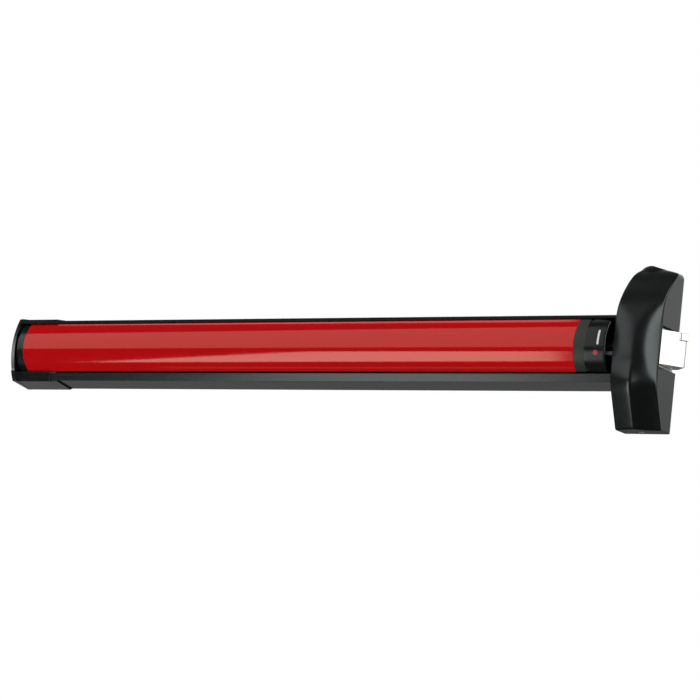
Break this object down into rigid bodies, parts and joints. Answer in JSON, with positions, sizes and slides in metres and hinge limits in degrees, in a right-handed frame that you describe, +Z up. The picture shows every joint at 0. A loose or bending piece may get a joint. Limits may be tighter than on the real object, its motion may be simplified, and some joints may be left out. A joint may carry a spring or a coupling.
{
  "type": "panic exit bar",
  "caption": "Touch-bar exit device: a curved push bar on a rail draws back a spring latch in a domed lock cover at one end.",
  "frame": {"origin": "centre of the lock's four door fixing holes, on the door face", "axes": "+X along the bar towards the latch, +Y into the door, +Z up"},
  "size_m": [0.8585, 0.0475, 0.1752],
  "materials": {
    "black_aluminium": "black anodised, satin",
    "zinc_steel": "zinc plated",
    "black_plastic": "moulded, satin",
    "screw_steel": "zinc plated",
    "rubber": "matte",
    "nylon": "natural nylon",
    "cover_black": "satin black",
    "spring_steel": "drawn wire",
    "mill_aluminium": "mill finish",
    "red_cover": "gloss red",
    "ring_black": "moulded, satin",
    "yellow_zinc": "yellow passivated",
    "latch_nickel": "bright plated"
  },
  "bodies": {
    "base": {"base_rail": "black_aluminium", "end_bracket": "zinc_steel", "end_cap": "black_plastic", "end_cap_screw": "screw_steel", "rail_screws": "screw_steel", "bar_buffers": "rubber", "lock_case": "zinc_steel", "latch_guides": "nylon", "lock_cover": "cover_black", "cover_screw": "screw_steel", "spring_posts": "screw_steel", "end_crank_pin": "screw_steel", "lock_crank_pin": "screw_steel", "pin_clips": "spring_steel"},
    "push_bar": {"bar_channel": "mill_aluminium", "bar_cover": "red_cover", "bar_left_cap": "black_plastic", "bar_trim_ring": "ring_black", "bar_right_cap": "black_plastic", "left_carrier": "zinc_steel", "right_carrier": "zinc_steel", "left_carrier_pin": "screw_steel", "right_carrier_pin": "screw_steel", "carrier_screws": "screw_steel", "spring_seats": "black_plastic", "return_springs": "spring_steel"},
    "end_bell_crank": {"end_crank": "yellow_zinc"},
    "lock_bell_crank": {"lock_crank": "yellow_zinc"},
    "rod": {"link_rod": "zinc_steel", "rod_pins": "screw_steel"},
    "latch": {"latch_bolt": "latch_nickel", "latch_drive_pin": "screw_steel", "latch_springs": "spring_steel"},
    "auxiliary_latch": {"aux_latch": "latch_nickel", "aux_spring": "spring_steel"}
  },
  "joints": [
    {"name": "bar_press", "type": "slide", "parent": "base", "child": "push_bar", "axis": [0, 1, 0], "range_m": [0, 0.008], "stiffness_N_per_m": 3900, "springref_m": -0.0064, "deforming": ["return_springs"]},
    {"name": "end_crank_turn", "type": "hinge", "parent": "base", "child": "end_bell_crank", "pos_m": [-0.73, -0.013, 0], "axis": [0, 0, 1], "range_deg": [-39.1, 0]},
    {"name": "lock_crank_turn", "type": "hinge", "parent": "base", "child": "lock_bell_crank", "pos_m": [-0.008, -0.013, 0], "axis": [0, 0, 1], "range_deg": [-39.1, 0]},
    {"name": "rod_slide", "type": "slide", "parent": "base", "child": "rod", "axis": [1, 0, 0], "range_m": [-0.0067, 0]},
    {"name": "latch_retract", "type": "slide", "parent": "base", "child": "latch", "axis": [1, 0, 0], "range_m": [-0.016, 0], "deforming": ["latch_springs"]},
    {"name": "aux_latch_press", "type": "slide", "parent": "latch", "child": "auxiliary_latch", "axis": [1, 0, 0], "range_m": [-0.0075, 0], "stiffness_N_per_m": 300, "springref_m": 0.006, "deforming": ["aux_spring"]}
  ],
  "couplings": [
    {"joint": "end_crank_turn", "follows": "bar_press", "rad_per_m": -84.95},
    {"joint": "lock_crank_turn", "follows": "bar_press", "rad_per_m": -84.95},
    {"joint": "rod_slide", "follows": "bar_press", "ratio": -0.8333},
    {"joint": "latch_retract", "follows": "bar_press", "ratio": -2}
  ]
}
